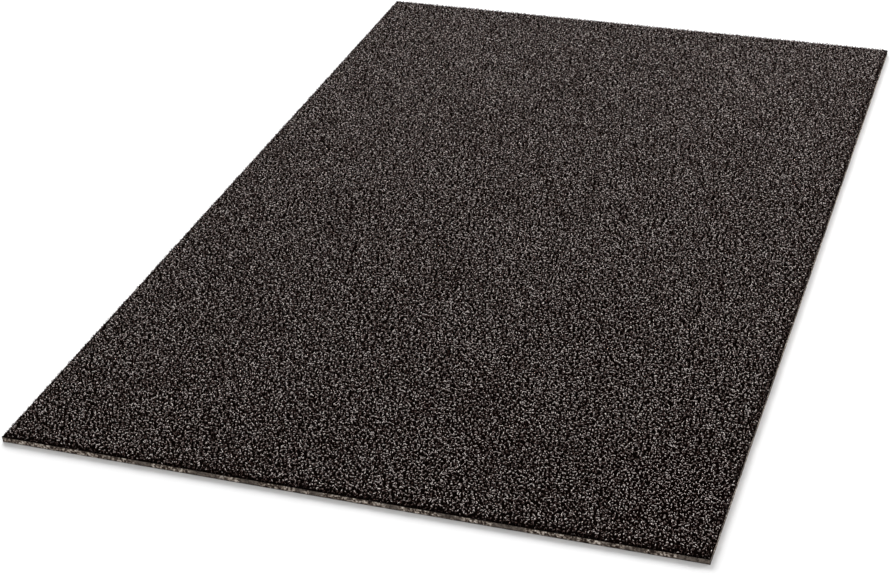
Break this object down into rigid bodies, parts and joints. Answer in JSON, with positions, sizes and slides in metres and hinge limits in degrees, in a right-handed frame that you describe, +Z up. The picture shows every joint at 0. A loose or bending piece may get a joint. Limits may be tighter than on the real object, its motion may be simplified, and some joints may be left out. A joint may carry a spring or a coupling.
{
  "type": "anti fatigue mat",
  "caption": "Cushioned standing mat: dark looped pile with rounded edges, laminated to a pale foam cushion with a non-slip underside.",
  "frame": {"origin": "middle of the flat underside, on the floor", "axes": "+X across the mat (its width), +Y along its length, +Z up from the floor"},
  "size_m": [0.9144, 1.524, 0.0127],
  "materials": {
    "pile": "satin",
    "carrier": "matte",
    "bond": "matte",
    "foam": "matte",
    "grip": "matte"
  },
  "bodies": {
    "root": {"loop_pile": "pile", "carrier_cloth": "carrier", "bond_film": "bond", "foam_cushion": "foam", "grip_skin": "grip"}
  },
  "joints": []
}
